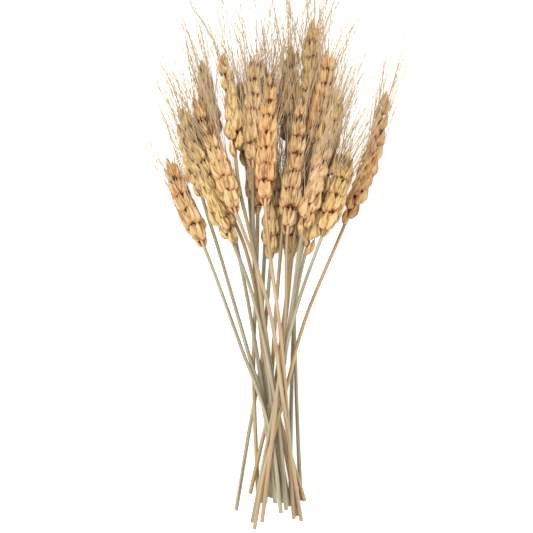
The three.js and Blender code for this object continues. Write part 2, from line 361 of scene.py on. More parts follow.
def read_ear(node: str, start: Vector, ahead: Vector) -> tuple[np.ndarray, np.ndarray]:
    """Follows a packed ear from its neck to its tip, past the awns that leave it.

    Args:
        node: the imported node's name.
        start: the neck.
        ahead: the direction of the straw at the neck.

    Returns:
        The middles of the ear's sections, and for each the spread of its outline as a matrix.
    """
    step, reach, core_reach, rim = 4 * MM, 8.5 * MM, 4 * MM, 8 * MM
    most_sections, steadiness = 60, 0.6
    triangles = corners(node)
    middles, spreads = [np.array(start)], []
    heading = np.array(ahead)
    while len(middles) <= most_sections:
        place = middles[-1] + heading * step
        cut = section(triangles, place, heading)
        middle = cut.mean(axis=1)
        distance = np.linalg.norm(middle - place, axis=1)
        near = distance < reach
        cut, middle, distance = cut[near], middle[near], distance[near]
        weight = np.linalg.norm(cut[:, 1] - cut[:, 0], axis=1)
        if weight[distance < core_reach].sum() < rim and weight.sum() < 3 * rim:
            break
        centre = (middle * weight[:, None]).sum(0) / weight.sum()
        offset = middle - centre
        squares = offset[:, :, None] * offset[:, None, :] * weight[:, None, None]
        spreads.append(squares.sum(0) / weight.sum())
        onward = (centre - middles[-1]) / np.linalg.norm(centre - middles[-1])
        heading = steadiness * heading + (1 - steadiness) * onward
        heading /= np.linalg.norm(heading)
        middles.append(centre)
    return np.array(middles), np.array(spreads)


def measure(number: str) -> Measured:
    """Reads one stalk, straw and ear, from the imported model.

    Args:
        number: the stalk's number, as its nodes' names have it.

    Returns:
        Its measurements.
    """
    knots, radii = read_straw(f"stem_{number}")
    straw = Line(knots)
    neck, ahead = straw.at(straw.length), straw.heading(straw.length)
    middles, spreads = read_ear(f"ear_{number}", neck, ahead)
    smooth = middles.copy()
    smooth[1:-1] = (middles[:-2] + 2 * middles[1:-1] + middles[2:]) / 4
    ear = Line(smooth[::2] if len(smooth) % 2 else np.vstack([smooth[::2], smooth[-1]]))
    below_tip = 0.7
    body = spreads[2 : max(4, int(len(spreads) * below_tip))].mean(0)
    sizes, directions = np.linalg.eigh(body)
    return Measured(number, straw, radii, ear, Vector(directions[:, 2]), math.sqrt(2 * sizes[2]))


# ---- shapes made once


def finish_shape(shape: Piece, crease: float, wrap: float = 1.0, map_start: float = 0.0) -> Piece:
    """Gives a shape its smooth shading, its tone and a surface map.

    The map runs up the shape with v and round it with u, which is 0.5 down the middle of its front.

    Args:
        shape: the shape, standing on Z from 0 to 1.
        crease: the angle past which an edge stays sharp, in degrees.
        wrap: how much of the map the whole way round takes.
        map_start: where on the map the shape's foot is.

    Returns:
        The same shape.
    """
    select_only(shape)
    bpy.ops.object.shade_smooth_by_angle(angle=math.radians(crease))
    mesh = shape.data
    while mesh.uv_layers:
        mesh.uv_layers.remove(mesh.uv_layers[0])
    surface_map = mesh.uv_layers.new(name="surface")
    for polygon in mesh.polygons:
        rounds, heights = [], []
        for corner in polygon.loop_indices:
            place = mesh.vertices[mesh.loops[corner].vertex_index].co
            on_axis = math.hypot(place.x, place.y) < CLOSE / 10
            rounds.append(None if on_axis else 0.5 + math.atan2(place.x, place.y) / math.tau)
            heights.append(place.z)
        known = [value for value in rounds if value is not None] or [0.5]
        if max(known) - min(known) > 0.5:
            known = [value + 1 if value < 0.5 else value for value in known]
            rounds = [value + 1 if value is not None and value < 0.5 else value for value in rounds]
        middle = sum(known) / len(known)
        for corner, around, height in zip(polygon.loop_indices, rounds, heights):
            across = (middle if around is None else around) - 0.5
            surface_map.data[corner].uv = (0.5 + wrap * across, map_start + (1 - map_start) * height)
    mesh.attributes.new(TONE, "FLOAT", "POINT")
    return shape


@dataclass(frozen=True)
class Husk:
    """A dry husk: a pointed boat with a keel, one unit long, standing on Z with its back to -Y.

    Each station is a share of the length, the half width there, how far the front stands out, and
    how far the husk bows forward.
    """

    name: str
    stations: tuple[tuple[float, float, float, float], ...]
    keel: float
    wrap: float
    map_start: float = 0.0
    sides: int = 8
    back: float = 0.5
    crease: float = 52.0

    def model(self) -> Piece:
        """Shapes the husk from a ball, one ring of it at a time.

        Returns:
            The husk.
        """
        rings = len(self.stations) + 1
        bpy.ops.object.select_all(action="DESELECT")
        bpy.ops.mesh.primitive_uv_sphere_add(segments=self.sides, ring_count=rings, radius=1)
        husk = bpy.context.active_object
        husk.name = self.name
        bpy.ops.object.mode_set(mode="EDIT")
        bpy.ops.mesh.select_mode(type="VERT")
        for number, (height, half_width, front, bow) in enumerate(self.stations, 1):
            level = -math.cos(math.pi * number / rings)
            radius = math.sin(math.pi * number / rings)
            self.shape_ring(husk, level, radius, half_width, front)
            select_where(husk, lambda co: abs(co.z - level) < CLOSE)
            bpy.ops.transform.translate(value=(0, bow, height + PARKED - level))
        for level, height in ((-1, 0.0), (1, 1.0)):
            select_where(husk, lambda co: abs(co.z - level) < CLOSE)
            bpy.ops.transform.translate(value=(0, 0, height + PARKED - level))
        bpy.ops.mesh.select_all(action="SELECT")
        bpy.ops.transform.translate(value=(0, 0, -PARKED))
        bpy.ops.object.mode_set(mode="OBJECT")
        return finish_shape(husk, self.crease, self.wrap, self.map_start)

    def shape_ring(
        self, husk: Piece, level: float, radius: float, half_width: float, front: float
    ) -> None:
        """Gives one ring of the ball its width, its flatter back and its keel.

        Args:
            husk: the shape, in edit mode.
            level: the ring's height on the ball.
            radius: the ring's radius on the ball.
            half_width: half the width that it gets.
            front: how far its front stands out.
        """
        middle = (0, 0, level)
        select_where(husk, lambda co: abs(co.z - level) < CLOSE)
        broader, deeper = half_width / radius, front / radius
        bpy.ops.transform.resize(value=(broader, deeper, 1), center_override=middle)
        select_where(husk, lambda co: abs(co.z - level) < CLOSE and co.y < -CLOSE / 10)
        bpy.ops.transform.resize(value=(1, self.back, 1), center_override=middle)
        select_where(husk, lambda co: abs(co.z - level) < CLOSE and co.y > 0.9 * front)
        bpy.ops.transform.translate(value=(0, self.keel * front, 0))


LEMMA = Husk(
    "lemma",
    (
        (0.04, 0.10, 0.10, 0.01),
        (0.14, 0.17, 0.165, 0.035),
        (0.31, 0.185, 0.19, 0.055),
        (0.50, 0.155, 0.165, 0.05),
        (0.72, 0.09, 0.09, 0.03),
        (0.88, 0.03, 0.035, 0.01),
    ),
    keel=0.15,
    wrap=0.78,
)
GLUME = Husk(
    "glume",
    (
        (0.04, 0.10, 0.09, 0.01),
        (0.14, 0.185, 0.17, 0.035),
        (0.34, 0.25, 0.22, 0.055),
        (0.58, 0.215, 0.185, 0.05),
        (0.78, 0.13, 0.11, 0.025),
        (0.92, 0.04, 0.04, 0.005),
    ),
    keel=0.25,
    wrap=0.62,
)
BRACT = replace(GLUME, name="bract", wrap=0.36, map_start=0.2)


@dataclass(frozen=True)
class Tube:
    """A straight round stalk one unit long and one unit in radius, ready to be bent along a line.

    wall is how thick it is round its hollow lower end, and hollow how deep that is. With a plain
    map, it takes its finish from the middle of a husk, where that has no marks.
    """

    name: str
    sides: int
    cuts: int
    wall: float = 0.0
    hollow: float = 0.0
    plain_map: bool = False
    crease: float = 45.0

    def model(self) -> Piece:
        """Shapes the stalk from a cylinder, with its lower end hollow where it has a wall.

        Returns:
            The stalk.
        """
        bpy.ops.object.select_all(action="DESELECT")
        bpy.ops.mesh.primitive_cylinder_add(vertices=self.sides, radius=1, depth=1, location=(0, 0, 0.5))
        stalk = bpy.context.active_object
        stalk.name = self.name
        bpy.ops.object.transform_apply(location=True, rotation=False, scale=False)
        bpy.ops.object.mode_set(mode="EDIT")
        bpy.ops.mesh.select_mode(type="EDGE")
        mesh = bmesh.from_edit_mesh(stalk.data)
        for edge in mesh.edges:
            edge.select_set(abs(edge.verts[0].co.z - edge.verts[1].co.z) > 0.5)
        bmesh.update_edit_mesh(stalk.data)
        bpy.ops.mesh.subdivide(number_cuts=self.cuts)
        if self.wall:
            bpy.ops.mesh.select_mode(type="FACE")
            mesh = bmesh.from_edit_mesh(stalk.data)
            for face in mesh.faces:
                face.select_set(face.normal.z < -0.9)
            bmesh.update_edit_mesh(stalk.data)
            bpy.ops.mesh.inset(thickness=self.wall)
            bpy.ops.mesh.extrude_region_move(TRANSFORM_OT_translate={"value": (0, 0, self.hollow)})
        bpy.ops.object.mode_set(mode="OBJECT")
        finish_shape(stalk, self.crease)
        if self.plain_map:
            for corner in stalk.data.uv_layers["surface"].data:
                corner.uv = (0.45 + 0.1 * corner.uv.x, 0.35 + 0.2 * corner.uv.y)
        return stalk


STRAW_TUBE = Tube("straw", 14, 72, wall=0.34, hollow=0.03)
RACHIS_TUBE = Tube("rachis", 8, 30, plain_map=True)
AWN_TUBE = Tube("awn", 4, 7)


# ---- materials


def rgb(red: int, green: int, blue: int) -> Colour:
    """Works out a surface colour from how it looks in the studio's light.

    Args:
        red: its red, from 0 to 255.
        green: its green, from 0 to 255.
        blue: its blue, from 0 to 255.

    Returns:
        The surface colour.
    """
    parts = [value / 255 for value in (red, green, blue)]
    linear = [p / 12.92 if p <= 0.04045 else ((p + 0.055) / 1.055) ** 2.4 for p in parts]
    return (*(p / STUDIO_LIGHT for p in linear), 1.0)


class Value:
    """A number that varies over a surface. Arithmetic on it adds Math nodes."""

    def __init__(self, paint: "Paint", socket: Socket) -> None:
        """Wraps the socket of a material in the making."""
        self.paint = paint
        self.socket = socket

    def math(self, operation: str, *others: "Value | float", first: int = 0) -> "Value":
        """Adds a Math node.

        Args:
            operation: the node's operation.
            others: its other operands, in order.
            first: where this value goes among them.

        Returns:
            The result.
        """
        operands = list(others)
        operands.insert(first, self)
        node = self.paint.node("ShaderNodeMath", {"operation": operation}, dict(enumerate(operands)))
        return Value(self.paint, node.outputs[0])

    def __add__(self, other: "Value | float") -> "Value":
        """This plus other."""
        return self.math("ADD", other)

    __radd__ = __add__

    def __mul__(self, other: "Value | float") -> "Value":
        """This times other."""
        return self.math("MULTIPLY", other)

    __rmul__ = __mul__

    def __sub__(self, other: "Value | float") -> "Value":
        """This less other."""
        return self.math("SUBTRACT", other)

    def __rsub__(self, other: float) -> "Value":
        """Other less this."""
        return self.math("SUBTRACT", other, first=1)

    def ramp(self, low: float, high: float) -> "Value":
        """Adds a smooth step between two levels of this.

        Args:
            low: the level where the step is 0.
            high: the level where it is 1, above low or below it.

        Returns:
            The step.
        """
        settings = {"interpolation_type": "SMOOTHSTEP"}
        foot, top = (0.0, 1.0) if low < high else (1.0, 0.0)
        inputs = {0: self, 1: min(low, high), 2: max(low, high), 3: foot, 4: top}
        return Value(self.paint, self.paint.node("ShaderNodeMapRange", settings, inputs).outputs[0])


class Paint:
    """One material in the making."""

    def __init__(self, name: str) -> None:
        """Starts a material with nothing but its Principled shader.

        Args:
            name: the material's name.
        """
        self.material = bpy.data.materials.new(name)
        self.material.use_nodes = True
        self.tree = self.material.node_tree
        self.shader = self.tree.nodes["Principled BSDF"]

    def node(
        self, kind: str, settings: dict[str, object], inputs: dict[int | str, object]
    ) -> bpy.types.Node:
        """Adds a node.

        Args:
            kind: the node's type.
            settings: its properties, set first.
            inputs: for each socket, by name or place, a value, a Value or a socket to link.

        Returns:
            The node.
        """
        made = self.tree.nodes.new(kind)
        for key, setting in settings.items():
            setattr(made, key, setting)
        for key, given in inputs.items():
            source = given.socket if isinstance(given, Value) else given
            if isinstance(source, Socket):
                self.tree.links.new(source, made.inputs[key])
            else:
                made.inputs[key].default_value = source
        return made

    def attribute(self, name: str) -> Value:
        """A number stored on the piece's own points."""
        node = self.node("ShaderNodeAttribute", {"attribute_name": name}, {})
        return Value(self, node.outputs["Fac"])

    def map_axes(self) -> tuple[Value, Value]:
        """Reads the piece's surface map.

        Returns:
            How far round the piece, and how far up it, each spot of the surface is.
        """
        spot = self.node("ShaderNodeUVMap", {"uv_map": "surface"}, {})
        parts = self.node("ShaderNodeSeparateXYZ", {}, {0: spot.outputs[0]})
        return Value(self, parts.outputs[0]), Value(self, parts.outputs[1])

    def place(self) -> Socket:
        """Where each spot of the surface is, in metres."""
        return self.node("ShaderNodeTexCoord", {}, {}).outputs["Object"]

    def vector(self, x: Value, y: Value, z: Value) -> Socket:
        """A vector made of three numbers."""
        return self.node("ShaderNodeCombineXYZ", {}, {0: x, 1: y, 2: z}).outputs[0]

    def noise(self, spot: Socket, scale: float, detail: float = 2.0) -> Value:
        """Soft random patches, from 0 to 1."""
        inputs = {"Vector": spot, "Scale": scale, "Detail": detail}
        return Value(self, self.node("ShaderNodeTexNoise", {}, inputs).outputs[0])

    def blend(self, share: Value, first: Colour | Socket, second: Colour) -> Socket:
        """A colour between two, first where share is 0."""
        node = self.node("ShaderNodeMix", {"data_type": "RGBA"}, {0: share, 6: first, 7: second})
        return node.outputs[2]

    def finish(
        self, colour: Socket, roughness: Value, height: Value, depth: float
    ) -> bpy.types.Material:
        """Links the colour, the roughness and the relief to the shader.

        Args:
            colour: the surface colour.
            roughness: the roughness.
            height: the relief, from 0 to 1.
            depth: how deep the relief is, in metres.

        Returns:
            The material.
        """
        bump = self.node("ShaderNodeBump", {}, {"Strength": 1.0, "Distance": depth, "Height": height})
        self.tree.links.new(colour, self.shader.inputs["Base Color"])
        self.tree.links.new(roughness.socket, self.shader.inputs["Roughness"])
        self.tree.links.new(bump.outputs[0], self.shader.inputs["Normal"])
        return self.material


@dataclass(frozen=True)
class HuskFinish:
    """How an ear's husks have dried: pale and warm flats, deep nerves, a glow above a dark base that is
    partly painted shade; its darker colours also paint shade down each husk's sides.
    """

    pale: Colour
    warm: Colour
    # deep also paints shade down the husks' sides, besides the nerves and the tip
    deep: Colour
    glow: Colour
    # the darkest colour: the base, partly painted shade, and painted shade down the sides
    mark_and_shade: Colour
    # how strongly the base darkens, partly its own colour and partly painted shade
    base_mark_and_shade: float = 0.9
    relief: float = 0.4 * MM

    def material(self, name: str) -> bpy.types.Material:
        """Makes the husks' material: nerves along each, painted shade down its sides, a reddish base
        partly painted as shade, a browner tip.

        Args:
            name: the material's name.

        Returns:
            The material.
        """
        paint = Paint(name)
        around, up = paint.map_axes()
        tone = paint.attribute(TONE)
        nerves = paint.noise(paint.vector(around * 21.0, up * 1.5, tone * 23.0), 1.0, 3.0)
        patches = paint.noise(paint.place(), 320.0, 2.0)
        light = (patches.ramp(0.38, 0.62) * 0.4 + tone * 0.7).ramp(0.0, 1.0)
        colour = paint.blend(light, self.warm, self.pale)
        colour = paint.blend(nerves.ramp(0.48, 0.6) * 0.85, colour, self.deep)
        uneven = nerves * 0.2 + patches * 0.1
        colour = paint.blend((up - uneven).ramp(0.16, -0.06) * 0.5, colour, self.glow)
        # Painted shade: each husk darkens towards its sides, where it turns away and tucks in among its
        # neighbours.
        sides = (around - 0.5).math("ABSOLUTE")
        colour = paint.blend(sides.ramp(0.10, 0.19) * 0.6, colour, self.deep)
        colour = paint.blend(sides.ramp(0.16, 0.24) * 0.75, colour, self.mark_and_shade)
        # A dark reddish base: partly the husk's own colour, partly painted shade where it sits in among
        # the husks below.
        base = (up - uneven).ramp(0.01, -0.08) * self.base_mark_and_shade
        colour = paint.blend(base, colour, self.mark_and_shade)
        colour = paint.blend(up.ramp(0.84, 1.0) * 0.35, colour, self.deep)
        roughness = nerves * 0.15 + 0.5
        return paint.finish(colour, roughness, nerves, self.relief)


@dataclass(frozen=True)
class StrawFinish:
    """How a straw has dried: pale and warm stretches, shaded ribs and specks, and its knee."""

    pale: Colour
    warm: Colour
    shade: Colour
    knee: Colour
    relief: float = 0.12 * MM

    def material(self, name: str) -> bpy.types.Material:
        """Makes the straw's material: fine ribs along it, slow changes of colour, a warm knee.

        Args:
            name: the material's name.

        Returns:
            The material.
        """
        paint = Paint(name)
        around, up = paint.map_axes()
        tone = paint.attribute(TONE)
        knee = paint.attribute(JOINT)
        ribs = paint.noise(paint.vector(around * 14.0, up * 5.0, tone * 31.0), 1.0, 2.0)
        slow = paint.noise(paint.vector(around * 1.5, up * 7.0, tone * 17.0), 1.0, 3.0)
        specks = paint.noise(paint.vector(around * 9.0, up * 160.0, tone * 11.0), 1.0, 2.0)
        light = (slow * 1.3 + tone * 0.6 - 0.45).ramp(0.0, 1.0)
        colour = paint.blend(light, self.warm, self.pale)
        colour = paint.blend(ribs.ramp(0.46, 0.68) * 0.6, colour, self.shade)
        colour = paint.blend(specks.ramp(0.66, 0.8) * 0.4, colour, self.shade)
        colour = paint.blend(knee, colour, self.knee)
        roughness = ribs * 0.2 + 0.36
        return paint.finish(colour, roughness, ribs, self.relief)


@dataclass(frozen=True)
class AwnFinish:
    """How the awns have dried: the colour at an awn's root and the paler one at its end."""

    root: Colour
    end: Colour
    relief: float = 0.05 * MM

    def material(self, name: str) -> bpy.types.Material:
        """Makes the awns' material: paler towards the end, rough with tiny barbs.

        Args:
            name: the material's name.

        Returns:
            The material.
        """
        paint = Paint(name)
        around, up = paint.map_axes()
        tone = paint.attribute(TONE)
        barbs = paint.noise(paint.vector(around * 4.0, up * 220.0, tone * 19.0), 1.0, 1.0)
        share = (up + tone * 0.5 - 0.2).ramp(0.0, 1.0)
        colour = paint.blend(share, self.root, self.end)
        colour = paint.blend(barbs.ramp(0.6, 0.75) * 0.3, colour, self.root)
        return paint.finish(colour, barbs * 0.2 + 0.45, barbs, self.relief)


# In each husk finish the two darkest colours also paint shade down the husks' sides, and the darkest one
# darkens their base, partly as painted shade.
HUSK_FINISHES = {
    Sort.GOLDEN: HuskFinish(
        pale=rgb(252, 217, 160), warm=rgb(238, 189, 120), deep=rgb(176, 112, 52),
        glow=rgb(232, 158, 76), mark_and_shade=rgb(148, 72, 32),
    ),
    Sort.ORANGE: HuskFinish(
        pale=rgb(250, 210, 147), warm=rgb(238, 180, 110), deep=rgb(170, 98, 40),
        glow=rgb(226, 142, 58), mark_and_shade=rgb(144, 66, 26),
    ),
    Sort.OLIVE: HuskFinish(
        pale=rgb(254, 220, 150), warm=rgb(238, 190, 110), deep=rgb(162, 106, 46),
        glow=rgb(226, 164, 74), mark_and_shade=rgb(136, 70, 30), base_mark_and_shade=0.8,
    ),
    Sort.BROWN: HuskFinish(
        pale=rgb(255, 222, 156), warm=rgb(246, 192, 118), deep=rgb(156, 98, 46),
        glow=rgb(214, 144, 70), mark_and_shade=rgb(122, 62, 28), base_mark_and_shade=0.8,
    ),
}
STRAW_FINISHES = {
    Straw.TAN: StrawFinish(
        pale=rgb(216, 192, 150), warm=rgb(202, 172, 122), shade=rgb(130, 100, 60), knee=rgb(198, 136, 72),
    ),
    Straw.ORANGE: StrawFinish(
        pale=rgb(224, 191, 140), warm=rgb(208, 168, 112), shade=rgb(136, 99, 56), knee=rgb(194, 128, 64),
    ),
    Straw.GREEN: StrawFinish(
        pale=rgb(203, 192, 158), warm=rgb(183, 169, 130), shade=rgb(110, 95, 60), knee=rgb(188, 144, 86),
    ),
    Straw.GREY: StrawFinish(
        pale=rgb(206, 194, 166), warm=rgb(184, 169, 136), shade=rgb(108, 93, 61), knee=rgb(180, 132, 78),
    ),
}
AWN_FINISHES = {
    Sort.GOLDEN: AwnFinish(rgb(228, 190, 140), rgb(224, 205, 178)),
    Sort.ORANGE: AwnFinish(rgb(226, 182, 126), rgb(222, 200, 168)),
    Sort.OLIVE: AwnFinish(rgb(220, 186, 132), rgb(218, 199, 170)),
    Sort.BROWN: AwnFinish(rgb(210, 174, 124), rgb(214, 193, 164)),
}


# ---- the pieces


@dataclass(frozen=True)
class Seat:
    """How one kind of husk sits in a spikelet: millimetres and degrees, at the usual size.

    aside, up and proud place its base across the fan, along the spikelet and out from the rachis.
    splay leans its tip aside, lean leans it out, and turn turns it about its own length. awned is
    how often it carries an awn.
    """

    shape: str
    length: float
    aside: float
    up: float
    proud: float
    splay: float
    lean: float
    turn: float
    sides: tuple[int, ...] = (-1, 1)
    awned: float = 0.0


SEATS = (
    Seat("lemma", 13.5, 0.0, 3.7, 1.4, 0, 0, 0, sides=(1,), awned=0.3),
    Seat("lemma", 15.5, 1.1, 2.6, 1.4, 6, 1, 14, awned=0.8),
    Seat("lemma", 17.5, 2.2, 1.0, 0.8, 12, 1, 34, awned=1.0),
    Seat("glume", 13.0, 2.4, 0.0, -0.1, 14, 3, 62, awned=0.2),
)
NECK_SEATS = (
    Seat("bract", 12.5, 0.0, 2.4, 1.2, 0, 2, 0, sides=(1,)),
    Seat("bract", 15.0, 1.0, 1.2, 0.9, 9, 3, 24, awned=0.35),
    Seat("bract", 13.0, 1.3, 0.0, 0.6, 14, 4, 52),
)
TIP_SEATS = (
    Seat("bract", 13.0, 0.0, 4.0, 0.4, 0, 0, 0, sides=(1,), awned=1.0),
    Seat("bract", 13.5, 1.1, 1.4, 0.3, 5, 2, 24, awned=0.9),
    Seat("bract", 11.0, 1.4, 0.0, 0.2, 8, 3, 60),
)


@dataclass
class Spikelet:
    """One spikelet: two glumes at its base, two lemmas that part above them, and three between.

    root is where it leaves the rachis. along, fan and out are the directions up it, across it and
    away from the rachis. size and girth are its length and breadth, 1 for the usual ones. bearded
    is how many of its awns have lasted, from 0 to 1. tips is filled as it is built.
    """

    root: Vector
    along: Vector
    fan: Vector
    out: Vector
    size: float
    girth: float
    seats: tuple[Seat, ...]
    bearded: float
    dice: random.Random
    sway: tuple[float, float, float] = (5.0, 3.0, 7.0)
    slack: tuple[float, float] = (0.2, 0.4)
    uneven: float = 0.1
    mottle: float = 0.28
    awn_start: float = 0.97
    awn_facing: tuple[float, float] = (0.1, 0.9)
    tips: list[AwnStart] = field(default_factory=list)

    def husk_place(self, seat: Seat, side: int) -> Matrix:
        """Works out where a husk goes, a little off its seat.

        Args:
            seat: how that husk sits in a spikelet of the usual size.
            side: which side it is on, -1 or 1.

        Returns:
            The matrix that puts a husk one unit long there.
        """
        jitter = self.dice.uniform
        splay_sway, lean_sway, turn_sway = self.sway
        aside_slack, up_slack = self.slack
        scale, broad = self.size * MM, self.girth * MM
        rotation = (
            Matrix((self.fan, self.out, self.along)).transposed()
            @ Matrix.Rotation(math.radians(side * seat.splay + jitter(-splay_sway, splay_sway)), 3, "Y")
            @ Matrix.Rotation(math.radians(-seat.lean + jitter(-lean_sway, lean_sway)), 3, "X")
            @ Matrix.Rotation(math.radians(-side * seat.turn + jitter(-turn_sway, turn_sway)), 3, "Z")
        )
        base = (
            self.root
            + self.fan * (side * seat.aside + jitter(-aside_slack, aside_slack)) * broad
            + self.along * (seat.up + jitter(-up_slack, up_slack)) * scale
            + self.out * seat.proud * broad
        )
        length = seat.length * scale * jitter(1 - self.uneven, 1 + self.uneven)
        width = seat.length * broad
        sizes = Matrix.Diagonal((width, width, length, 1.0))
        return Matrix.Translation(base) @ rotation.to_4x4() @ sizes

    def build(self, shapes: Shapes, tone: float) -> list[Piece]:
        """Copies the husks into place and notes where the awns start.

        Args:
            shapes: the shapes that were modelled once, by name.
            tone: the ear's own tone.

        Returns:
            The husks.
        """
        husks = []
        for seat in self.seats:
            for side in seat.sides:
                place = self.husk_place(seat, side)
                husks.append(copied(shapes[seat.shape], place, self.shade(tone)))
                if self.dice.random() < seat.awned * self.bearded:
                    self.note_tip(place, side)
        return husks

    def shade(self, tone: float) -> float:
        """Draws a husk's tone, near its ear's tone and from 0 to 1."""
        return min(1.0, max(0.0, tone + self.dice.uniform(-self.mottle, self.mottle)))

    def note_tip(self, place: Matrix, side: int) -> None:
        """Keeps a husk's tip, its direction and which way its awn spreads.

        Args:
            place: the matrix that puts the husk in place.
            side: which side it is on, -1 or 1.
        """
        tip = place @ Vector((0, 0, self.awn_start))
        heading = (place.to_3x3() @ Vector((0, 0, 1))).normalized()
        spread = self.fan * side + self.out * self.dice.uniform(*self.awn_facing)
        self.tips.append((tip, heading, spread.normalized()))


@dataclass
class Ear:
    """An ear: its rachis with two rows of spikelets, and its awns.

    pitch is the least and greatest distance between spikelets, and lean how far one leans out.
    awn_length is the least, greatest and likeliest length, and bearded the same for how many awns
    have lasted. drift is how far all the awns lean to one side, and side_spare how far from the
    sides of their box their ends may stop.
    """

    measured: Measured
    dice: random.Random
    pitch: tuple[float, float] = (6.0 * MM, 7.0 * MM)
    fewest: int = 6
    usual_half_width: float = 5.8 * MM
    fullest: float = 1.13
    tip_length: float = 14 * MM
    neck_share: float = 0.12
    row_offset: float = 0.5 * MM
    lean: float = 4.0
    awn_length: tuple[float, float, float] = (56 * MM, 134 * MM, 92 * MM)
    awn_radius: float = 0.29 * MM
    awn_angle: tuple[float, float, float] = (1.0, 30.0, 5.0)
    bearded: tuple[float, float, float] = (0.5, 0.95, 0.72)
    drift: float = 0.14
    side_spare: float = 25 * MM

    def fullness(self, share: float) -> tuple[float, float]:
        """Works out how full-grown a spikelet is.

        Args:
            share: how far up the ear it is, from 0 to 1.

        Returns:
            Its length and its breadth, 1 for the usual ones.
        """
        taper = max(0.0, (share - 0.3) / 0.7) ** 1.5
        length = min(1.0, 0.86 + 0.9 * share) * (1 - 0.32 * taper)
        return length, min(self.fullest, 0.66 + 2.8 * share) * (1 - 0.46 * taper)

    def build(self, shapes: Shapes) -> tuple[Piece, Piece]:
        """Makes the ear's husks on their rachis, and its awns.

        Args:
            shapes: the shapes that were modelled once, by name.

        Returns:
            The husks as one piece, and the awns as another.
        """
        line = self.measured.ear
        count = max(self.fewest, round(line.length / self.dice.uniform(*self.pitch)))
        tone = self.dice.uniform(0.3, 0.7)
        bearded = self.dice.triangular(*self.bearded)
        parts = [bent(shapes["rachis"], line, lambda share: (1.35 - 0.85 * share) * MM, tone * 0.6)]
        tips: list[AwnStart] = []
        for number in range(count):
            share = number / (count - 1)
            spikelet = self.spikelet(share, 1 if number % 2 else -1, bearded)
            parts += spikelet.build(shapes, tone)
            tips += spikelet.tips
        name = self.measured.number
        husks = joined(parts, f"husks_{name}")
        awns = joined([self.awn(shapes["awn"], tip) for tip in tips], f"awns_{name}")
        return rested(husks, 4 * MM), rested(awns, 0.6 * MM)

    def spikelet(self, share: float, side: int, bearded: float) -> Spikelet:
        """Places one spikelet on the rachis.

        Args:
            share: how far up the ear it is.
            side: which row it is in.
            bearded: how many of its awns have lasted, from 0 to 1.

        Returns:
            The spikelet, not yet built. The one at the tip stands across the others.
        """
        line, jitter = self.measured.ear, self.dice.uniform
        seats = NECK_SEATS if share < self.neck_share else TIP_SEATS if share == 1 else SEATS
        scale = jitter(0.97, 1.06) * self.measured.half_width / self.usual_half_width
        size, girth = (part * scale for part in self.fullness(share))
        along_line = share * (line.length - self.tip_length * size)
        ahead = line.heading(along_line)
        fan = self.measured.fan
        fan = (fan - ahead * fan.dot(ahead)).normalized()
        fan = Matrix.Rotation(math.radians(jitter(-11, 11)), 3, ahead) @ fan
        row = ahead.cross(fan) * side
        lean, offset = math.radians(self.lean + jitter(-3, 3)), self.row_offset
        if share == 1:
            fan, row, lean, offset = row, fan, 0.0, 0.0
        along = (ahead * math.cos(lean) + row * math.sin(lean)).normalized()
        out = (row * math.cos(lean) - ahead * math.sin(lean)).normalized()
        root = line.at(along_line) + row * offset
        return Spikelet(root, along, out.cross(along), out, size, girth, seats, bearded, self.dice)

    def awn_room(self, tip: Vector, reach: Vector) -> float:
        """Finds how long an awn may grow before it leaves the bundle's box by its end or its top.

        Args:
            tip: where the awn starts.
            reach: how far its end moves for each metre of its length.

        Returns:
            The greatest length.
        """
        rooms = [self.awn_length[1]]
        for axis in (1, 2):
            if reach[axis] > 0:
                rooms.append((AWN_HIGH[axis] - tip[axis]) / reach[axis])
        return min(rooms)

    def turned_in(self, end: float) -> float:
        """How far an awn's end turns in, where it would be past a side of the bundle's box.

        Args:
            end: how far across the end would be.

        Returns:
            The move across.
        """
        spare = self.dice.uniform(0.0, self.side_spare)
        low, high = AWN_LOW.x + spare, AWN_HIGH.x - spare
        return min(max(end, low), high) - end

    def awn_line(self, tip: Vector, heading: Vector, spread: Vector) -> Line:
        """Lays out the line that an awn follows.

        Args:
            tip: where it starts.
            heading: the husk's direction.
            spread: which way the awn spreads from the ear.

        Returns:
            The line. It leaves along the husk, curls away, and stays inside the bundle's box.
        """
        jitter = self.dice.uniform
        ahead = self.measured.ear.heading(self.measured.ear.length)
        angle = math.radians(self.dice.triangular(*self.awn_angle))
        course = (ahead * math.cos(angle) + spread * math.sin(angle)).normalized()
        outward = Vector((tip.x / CAD_BOX[1].x - self.drift, 0, 0)) * jitter(0.0, 0.9)
        loose = Vector([jitter(-0.08, 0.08) for _ in range(3)])
        curl = spread * jitter(-0.05, 0.18) + outward + loose
        room = self.awn_room(tip, course + curl) * jitter(0.85, 1.0)
        length = min(self.dice.triangular(*self.awn_length), room)
        curl.x += self.turned_in(tip.x + (course.x + curl.x) * length) / length
        knots = []
        for step in range(6):
            share = step / 5
            early = heading * (1 - share) * 0.5 + course * (0.5 + 0.5 * share)
            place = tip + early * (share * length) + curl * (share * share * length)
            inside = [min(max(p, lo), hi) for p, lo, hi in zip(place, AWN_LOW, AWN_HIGH)]
            knots.append(inside)
        return Line(np.array(knots), 8 * MM)

    def awn(self, shape: Piece, start: AwnStart) -> Piece:
        """Makes one awn, from a husk's tip outwards.

        Args:
            shape: the awn that was modelled once.
            start: the husk's tip, its direction and which way the awn spreads.

        Returns:
            The awn.
        """

        def radius(share: float) -> float:
            """The awn's radius at this share of its length."""
            return self.awn_radius * (0.3 + 0.7 * (1 - share) ** 1.3)

        line = self.awn_line(*start)
        return bent(shape, line, radius, self.dice.random(), self.dice.uniform(0, 1.5))


